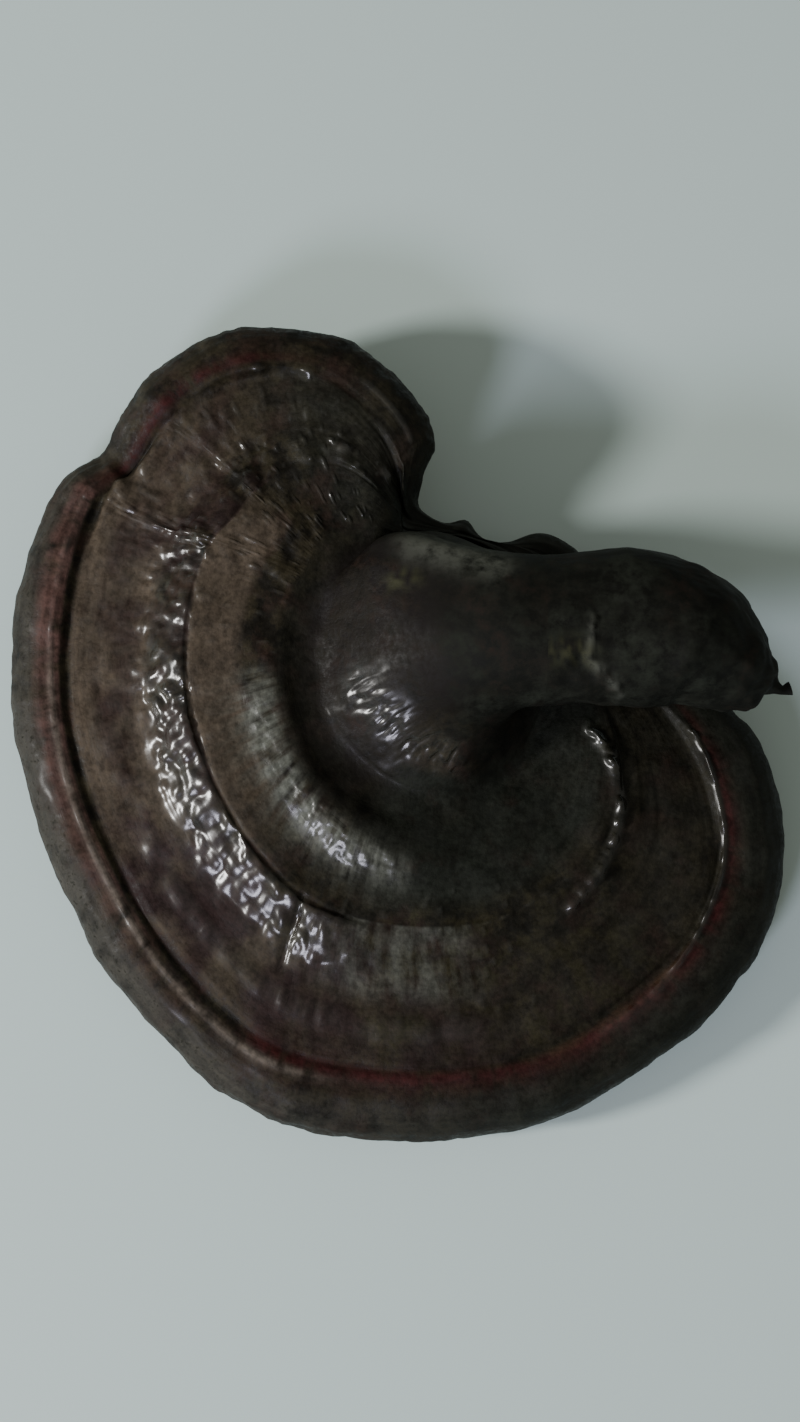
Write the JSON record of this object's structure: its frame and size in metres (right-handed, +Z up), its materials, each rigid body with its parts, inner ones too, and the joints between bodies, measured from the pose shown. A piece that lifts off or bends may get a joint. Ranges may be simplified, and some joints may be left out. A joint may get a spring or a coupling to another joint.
{
  "type": "reishi mushroom",
  "caption": "Dried reishi mushroom: kidney-shaped lacquered bracket cap with a thick margin, growth ledges and a stout side stem, lying cap side up.",
  "frame": {"origin": "middle of the object's box, on the surface it lies on", "axes": "+Z up out of the cap's crust, +X from the cap towards the stem's end, +Y across the cap towards its far lobe"},
  "size_m": [0.1246, 0.13, 0.0344],
  "materials": {
    "cap_crust": "lacquered",
    "stem_crust": "satin"
  },
  "bodies": {
    "root": {"cap": "cap_crust", "stem": "stem_crust"}
  },
  "joints": []
}
